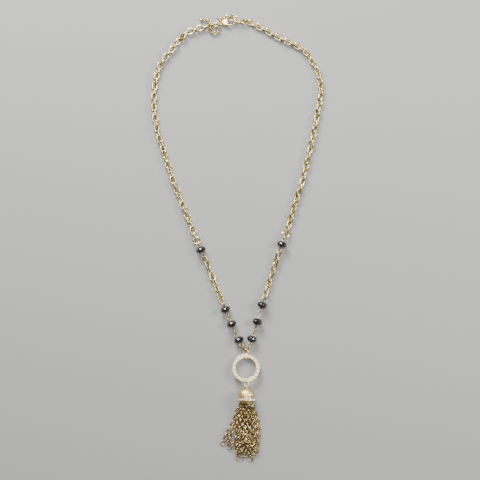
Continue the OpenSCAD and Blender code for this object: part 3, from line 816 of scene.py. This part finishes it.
def stone_circle(count, diameter, height, circle, seat):
    """The cut stones of a circle, given the circle's place and a stone's seat in it."""
    return [(cut_stone(diameter, height), circle @ in_circle(k, count) @ seat) for k in range(count)]


def grain_circle(count, radius, fineness, circle, spots):
    """The small grains between the stones of a circle, at spots of distance and height."""
    grains = []
    for k in range(count):
        for distance, z in spots:
            grain = bmesh.new()
            bmesh.ops.create_icosphere(grain, subdivisions=fineness, radius=radius * MM)
            grains.append((grain, circle @ in_circle(k + 0.5, count) @ shifted(0, distance, z)))
    return grains


class StoneRing(Operator):
    """Make the ring's band with its channel, its grains and its two soldered rings"""
    bl_idname = "y_necklace.stone_ring"
    bl_label = "Ring of stones"

    def execute(self, context):
        sizes = context.scene.y_necklace_ring
        outer, top = sizes.diameter / MM / 2, sizes.height / MM
        inner = outer - sizes.band / MM
        chamfer, rim, channel, rows = 0.3, 0.4, 0.7, 4
        half_round = [(rim / 2 * math.cos(math.pi * k / rows),
                       top - rim / 2 + rim / 2 * math.sin(math.pi * k / rows)) for k in range(rows + 1)]
        profile = [(inner, chamfer), (inner + chamfer, 0), (outer - chamfer, 0), (outer, chamfer)]
        profile += [(outer - rim / 2 + r, z) for r, z in half_round]
        profile += [(outer - rim, top - channel), (inner + rim, top - channel)]
        profile += [(inner + rim / 2 + r, z) for r, z in half_round]
        place = ring_place()
        parts = [(turned_form(profile, steps=96), place)]
        wire, height = 0.9, 0.95
        for radius, x, y in ((1.8, -0.2, outer + 1.8), (1.85, 0.3, -outer - 1.5)):
            parts.append((wire_ring((2 * radius + wire) * MM, wire * MM, RING),
                          place @ shifted(x, y, height)))
        middle, reach = (outer + inner) / 2, 0.27 * (outer - inner)
        grain, height = 0.4, top - 0.2
        parts += grain_circle(sizes.stones, grain, 2, place,
                              ((middle - reach, height), (middle + reach, height)))
        finished_piece("ring_band", parts, satin_gold(), "stone_ring")
        return {"FINISHED"}


class RingStones(Operator):
    """Make the clear cut stones of the ring"""
    bl_idname = "y_necklace.ring_stones"
    bl_label = "Ring's stones"

    def execute(self, context):
        sizes = context.scene.y_necklace_ring
        height, foot = 1.35 * MM, sizes.height - 0.8 * MM
        seat = Matrix.Translation((0, (sizes.diameter - sizes.band) / 2, foot))
        stones = stone_circle(sizes.stones, sizes.stone, height, ring_place(), seat)
        finished_piece("clear_stones_of_ring", stones, foiled_stone(), "ring_stones")
        return {"FINISHED"}


class Cap(Operator):
    """Make the fluted bell-shaped cap with its groove, band and eye"""
    bl_idname = "y_necklace.cap"
    bl_label = "Cap"

    def execute(self, context):
        sizes = context.scene.y_necklace_cap
        dome, band, end = sizes.dome / MM, sizes.band / MM, sizes.length / MM
        rows, top, tall, neck = 10, 0.5, 5.8, 2.6
        inside, ceiling, hair = 4.1, -1.4, 0.05
        profile = [(0, top + 0.1), (1.4, top + 0.1), (2.3, top + 0.05)]
        for k in range(rows + 1):
            turn = math.pi / 2 * k / rows
            profile.append((neck + (dome - neck) * math.sin(turn), top - tall * (1 - math.cos(turn))))
        profile += [
            (dome - 0.05, -5.6), (dome - 0.35, -5.9), (5.1, -6.1), (5.0, -6.3), (5.0, -6.9), (5.1, -7.05),
            (band - 0.12, BAND_TOP), (band, -7.2), (band, -7.35), (band - 0.8, -7.4),
            (band - 0.8, 0.3 - end), (band, 0.25 - end), (band, 0.1 - end), (band - 0.1, -end),
            (5.4, -end), (5.4, -7.6), (inside, -7.2), (inside, ceiling), (0, ceiling),
        ]
        form = turned_form(profile, sizes.flutes * 6)
        lowest, highest = -5.5 * MM, (top - 0.02) * MM
        deepest, full_depth = 0.026, 1.6 * MM
        for vert in form.verts:
            radius, z = vert.co.xy.length, vert.co.z
            wall = neck if z > (ceiling + hair) * MM else inside + hair
            if lowest < z < highest and radius > wall * MM:
                turn = math.atan2(vert.co.y, vert.co.x) * sizes.flutes
                deep = min(1.0, (radius - neck * MM) / full_depth)
                shrink = 1 - deepest * deep * (0.5 + 0.5 * math.cos(turn)) ** 2
                vert.co.x *= shrink
                vert.co.y *= shrink
        place = cap_place()
        eye_place = place @ shifted(0, 0, CAP_EYE_HEIGHT) @ rotated(90, "Y")
        parts = [(form, place), (wire_loop(*CAP_EYE, EYE), eye_place)]
        parts += grain_circle(sizes.stones, 0.3, 1, place, ((band - 0.1, -7.45), (band - 0.1, 0.35 - end)))
        finished_piece("fluted_cap", parts, satin_gold(), "tassel_cap")
        return {"FINISHED"}


class CapStones(Operator):
    """Make the clear cut stones of the cap's band"""
    bl_idname = "y_necklace.cap_stones"
    bl_label = "Cap's stones"

    def execute(self, context):
        sizes = context.scene.y_necklace_cap
        middle = (BAND_TOP * MM - sizes.length) / 2
        diameter, height, foot = sizes.stone + 0.2 * MM, 0.95 * MM, sizes.band - 0.72 * MM
        seat = Matrix.Translation((0, foot, middle)) @ rotated(-90, "X")
        stones = stone_circle(sizes.stones, diameter, height, cap_place(), seat)
        finished_piece("clear_stones_of_cap", stones, foiled_stone(), "cap_stones")
        return {"FINISHED"}


class Tassel(Operator):
    """Make the tassel's strands of fine chain and the head that holds them in the cap"""
    bl_idname = "y_necklace.tassel"
    bl_label = "Tassel"

    def execute(self, context):
        sizes = context.scene.y_necklace_cap
        wire, width = sizes.strand_wire, sizes.strand_width
        play, pitch = 0.15 * MM, 2.95 * MM
        leaning, wobble, crossing = 40, 14, 45
        chance = random.Random(11)
        end = sizes.length / MM
        head = ((0, 0.9), (4.6, 0.9), (5.1, 1.2), (5.1, 1.8), (3.8, 2.1), (3.8, 5.4), (0, 5.4))
        parts = [(turned_form([(r, z - end) for r, z in head], steps=32), cap_place())]
        for route in STRAND_ROUTES:
            way = smooth(route_points(route, LYING_STRAND))
            count = round(way_length(way) / pitch)
            hooks = spaced(way, count)
            lean = chance.uniform(-leaning, leaning)
            for k in range(count):
                roll = lean + (crossing if k % 2 else -crossing) + chance.uniform(-wobble, wobble)
                low = lying_height(width, wire, roll)
                a, b = hooks[k].copy(), hooks[k + 1].copy()
                a.z, b.z = max(a.z, low), max(b.z, low)
                parts.append(link(a, b, width, wire, play, roll, FINE_LINK))
        for x, y, z, across, roll in STRAND_RINGS:
            parts.append((wire_ring(across * MM, wire, STRAND_RING), shifted(x, y, z) @ rotated(roll, "Y")))
        tip = ((5.7, -174.7, 0.7), (5.2, -175.6, 0.6), (4.7, -176.8, 0.5), (4.3, -178, 0.3))
        height, heading = 0.6, -112
        bar = drawn_bar([(x, y, heading, width, width) for x, y, width in tip], parts=3, sides=6)
        parts.append((bar, shifted(0, 0, height)))
        finished_piece("chain_tassel", parts, antique_gold(), "tassel")
        return {"FINISHED"}


def clasp_place():
    """Place of the middle of the clasp's eye, and its heading."""
    return shifted(*CLASP_EYE) @ rotated(CLASP_HEADING, "Z")


def plate(circles, low, high, cuts, rounding=0.0):
    """A flat plate round circles of x and radius, rounded away from the middle and cut by planes."""
    side = 1 if high > -low else -1
    inside, outside = (low, high) if side > 0 else (high, low)
    rows, sides = 5, 40
    levels = [(inside, 0.0)]
    for k in range(rows + 1):
        turn = math.pi / 2 * k / rows
        levels.append((outside - side * rounding * (1 - math.sin(turn)),
                       rounding * 2 * (1 - math.cos(turn))))
    bm = hull_of([p + Vector((x, 0, 0)) * MM for x, radius in circles for z, less in levels
                  for p in circle_points((radius - less) * MM, z * MM, sides)])
    for point, normal in cuts:
        cut = bmesh.ops.bisect_plane(bm, geom=list(bm.verts) + list(bm.edges) + list(bm.faces),
                                     plane_co=Vector(point) * MM, plane_no=normal, clear_outer=True)
        bmesh.ops.edgeloop_fill(bm, edges=of_kind(cut["geom_cut"]))
    return bm


class Clasp(Operator):
    """Make the lobster clasp's body with its hook and eye, and its sprung lever"""
    bl_idname = "y_necklace.clasp"
    bl_label = "Clasp"

    def execute(self, context):
        sizes = context.scene.y_necklace_clasp
        half, thick, pin = sizes.thickness / MM / 2, sizes.hook / MM, sizes.pin / MM
        place = clasp_place()
        hinge = place @ shifted(3.7, -1.3, 0)

        cheek, core = 0.65, 0.7
        circles = ((1.9, 1.45), (2.7, 2.05), (3.6, 2.5), (4.6, 2.68))
        front, back = ((5.2, 0, 0), (1, 0, 0)), ((2.3, 0, 0), (1, 0, 0))
        beside = ((0, 0.05, 0), (0, -1, 0))
        eye = mirrored(((0.75, -0.35), (0.9, -0.5), (1.35, -0.5), (1.5, -0.35)))
        neck = ((1.2, 0, 0, 1.6, 0.9), (1.7, 0, 0, 2.6, 1.6), (2.4, 0, 0, 3.2, 2.2))
        arm = [(4.3, 1.3, 0, 2.4, 2.2), (5.2, 1.75, 2, 1.8, 2.0), (6.4, 1.88, 0, 1.45, thick + 0.15),
               (7.6, 1.84, -2, 1.35, thick)]
        bend = 1.82
        for heading in range(-10, -121, -22):
            turn = math.radians(heading)
            arm.append((8.6 - bend * math.sin(turn), bend * math.cos(turn), heading, 1.34, thick))
        arm += [(9.95, -1.38, -140, 1.25, thick), (9.6, -1.72, -152, 1.2, thick * 0.96),
                (9.25, -1.88, -162, 1.1, thick * 0.9), (9.13, -1.91, -165, 0.8, thick * 0.66)]
        foot, head = pin * 0.5 / 0.45, pin * 0.62 / 0.45
        rivet = mirrored(((0, 0.02 - half), (foot, 0.02 - half), (head, 0.12 - half), (pin, 0.3 - half)))
        parts = [(part, place) for part in (
            plate(circles, cheek, half, (front,), half - cheek),
            plate(circles, -half, -cheek, (front,), half - cheek),
            plate(circles, -core, core, (front, back)), plate(circles, -core, core, (front, beside)),
            turned_form(eye, steps=28), drawn_bar(neck, parts=1, sides=16), drawn_bar(arm))]
        parts.append((turned_form(rivet, steps=20), hinge))
        finished_piece("clasp_hook", parts, yellow_gold(), "clasp_body")

        bore = pin + 0.1
        lug = mirrored(((bore, -0.5), (1.0, -0.5), (1.1, -0.4)))
        gate = ((0.75, -0.55, 0, 0.8, 0.7), (1.2, -0.56, 0, 1.05, 0.98), (1.7, -0.6, 0, 1.25, 1.3),
                (3.4, -0.6, 0, 1.25, thick * 0.96), (5.08, -0.6, 0, 1.15, thick * 0.94),
                (5.2, -0.6, 0, 0.8, thick * 0.7))
        tab = ((2.45, -0.8, -90, 1.1, 1.2), (2.45, -1.5, -90, 1.15, 1.3), (2.45, -2.3, -90, 1.4, 1.45),
               (2.45, -2.85, -90, 1.2, 1.25), (2.45, -3.1, -90, 0.6, 0.6))
        parts = [(part, hinge) for part in (turned_form(lug, steps=28), drawn_bar(gate), drawn_bar(tab))]
        finished_piece("clasp_gate", parts, yellow_gold(), "clasp_lever", "lever")
        return {"FINISHED"}


class SmallChains(Operator):
    """Make the ring on the hook, the small links beside the clasp and the extension with its drop"""
    bl_idname = "y_necklace.small_chains"
    bl_label = "Small chains"

    def execute(self, context):
        sizes = context.scene.y_necklace_clasp
        play = context.scene.y_necklace_chain.play
        wire, plating = sizes.wire, sizes.plating
        place = clasp_place()

        on_hook = place @ (Vector((9.88, 0, 0)) * MM)
        ring_width, ring_wire = 4.6 * MM, 0.8 * MM
        links = [link(on_hook, long_chain_hooks("right")[0][0], ring_width, ring_wire, play, 80, EYE,
                      plating=plating)]
        finished_piece("hook_ring", links, pale_gold(), "clasp_ring")

        start = long_chain_hooks("left")[0][0]
        end = place @ (Vector((-0.4, 0, 0)) * MM)
        rolls = (-8, 82, -8, 88)
        sag = (0, 0.6, 0.9, 0.6, 0)
        width = 3.4 * MM
        points = [start + (end - start) * k / len(rolls) - Vector((0, 0, low * MM))
                  for k, low in enumerate(sag)]
        links = [link(a, b, width, wire, play, roll, SMALL_LINK, plating=plating)
                 for (a, b), roll in zip(pairwise(points), rolls)]
        finished_piece("clasp_side_links", links, pale_gold(), "clasp_chain")

        width, slack = 3 * MM, 0.2 * MM
        points = spaced(smooth(route_points(EXTENSION_ROUTE)), sizes.extension_links)
        links = [link(a, b, width, wire, play, -10 if k % 2 else 80, SMALL_LINK, slack, plating)
                 for k, (a, b) in enumerate(pairwise(points))]
        finished_piece("extension_links", links, pale_gold(), "extension_chain")

        inner, ball, rows = 2.2 * MM, 1.3, 10
        middle = Matrix.Translation(points[-1] + Vector(((wire + play - inner) / 2, 0, 0)))
        drop = [(ball * math.sin(math.pi * k / rows), -ball * math.cos(math.pi * k / rows))
                for k in range(rows - 1)] + [(0.5, 1.22), (0.42, 1.4), (0, 1.4)]
        parts = [(wire_ring(inner + wire, wire, EYE), middle @ rotated(75, "X")),
                 (turned_form(drop, steps=24), middle @ shifted(-2.1, 0, 0) @ rotated(90, "Y"))]
        finished_piece("end_drop", parts, pale_gold(), "extension_drop")
        return {"FINISHED"}


class Stage(Operator):
    """Make the pale surface, the soft lights and the camera straight above"""
    bl_idname = "y_necklace.stage"
    bl_label = "Stage"

    def execute(self, context):
        scene = context.scene
        half_size, height = 1.5, -0.03
        bm = bmesh.new()
        bmesh.ops.create_grid(bm, x_segments=1, y_segments=1, size=half_size, matrix=shifted(0, 0, height))
        surface = new_object("surface", mesh_of("surface", bm))
        surface.data.materials.append(surface_paper())

        world = bpy.data.worlds.new("soft_room")
        world.use_nodes = True
        background = next(n for n in world.node_tree.nodes if n.type == "BACKGROUND")
        set_inputs(background, {"Color": (1.0, 0.98, 0.95, 1), "Strength": 0.12})
        scene.world = world

        for name, spot, size, power in LAMPS:
            light = bpy.data.lights.new(name, "AREA")
            light.shape = "SQUARE"
            light.size = size
            light.energy = power
            lamp = new_object(name, light)
            lamp.location = spot
            lamp.rotation_euler = (-Vector(spot)).to_track_quat("-Z", "Y").to_euler()

        lens = bpy.data.cameras.new("camera")
        lens.lens = 135
        lens.sensor_width = 36
        lens.clip_start = 0.05
        scene.camera = new_object("camera", lens)
        scene.camera.location = (0.0024, -0.0012, 1.44)
        return {"FINISHED"}


PIECES = (LongChains, EndRings, ShortChains, Beads, EyePins, DropLinks, StoneRing, RingStones, Cap,
          CapStones, Tassel, Clasp, SmallChains, Stage)
SETTINGS = {
    "y_necklace_chain": ChainSizes,
    "y_necklace_beads": BeadSizes,
    "y_necklace_ring": RingSizes,
    "y_necklace_cap": CapSizes,
    "y_necklace_clasp": ClaspSizes,
    "y_necklace_finish": Finishes,
}


class NecklacePanel(Panel):
    """Lists the necklace's sizes and pieces"""
    bl_idname = "VIEW3D_PT_y_necklace"
    bl_label = "Y necklace"
    bl_space_type = "VIEW_3D"
    bl_region_type = "UI"
    bl_category = "Y necklace"

    def draw(self, context):
        for name, group in SETTINGS.items():
            box = self.layout.box()
            box.label(text=group.__doc__)
            for key in group.__annotations__:
                box.prop(getattr(context.scene, name), key)
        for piece in PIECES:
            self.layout.operator(piece.bl_idname)


CLASSES = (*SETTINGS.values(), *PIECES, NecklacePanel)


def register():
    """Registers the settings, the operators and the panel."""
    for cls in CLASSES:
        bpy.utils.register_class(cls)
    for name, group in SETTINGS.items():
        setattr(bpy.types.Scene, name, PointerProperty(type=group))


def unregister():
    """Removes what register added."""
    for name in SETTINGS:
        delattr(bpy.types.Scene, name)
    for cls in reversed(CLASSES):
        bpy.utils.unregister_class(cls)


def main():
    """Makes every piece in order."""
    register()
    for piece in PIECES:
        group, name = piece.bl_idname.split(".")
        getattr(getattr(bpy.ops, group), name)()


if __name__ == "__main__":
    main()
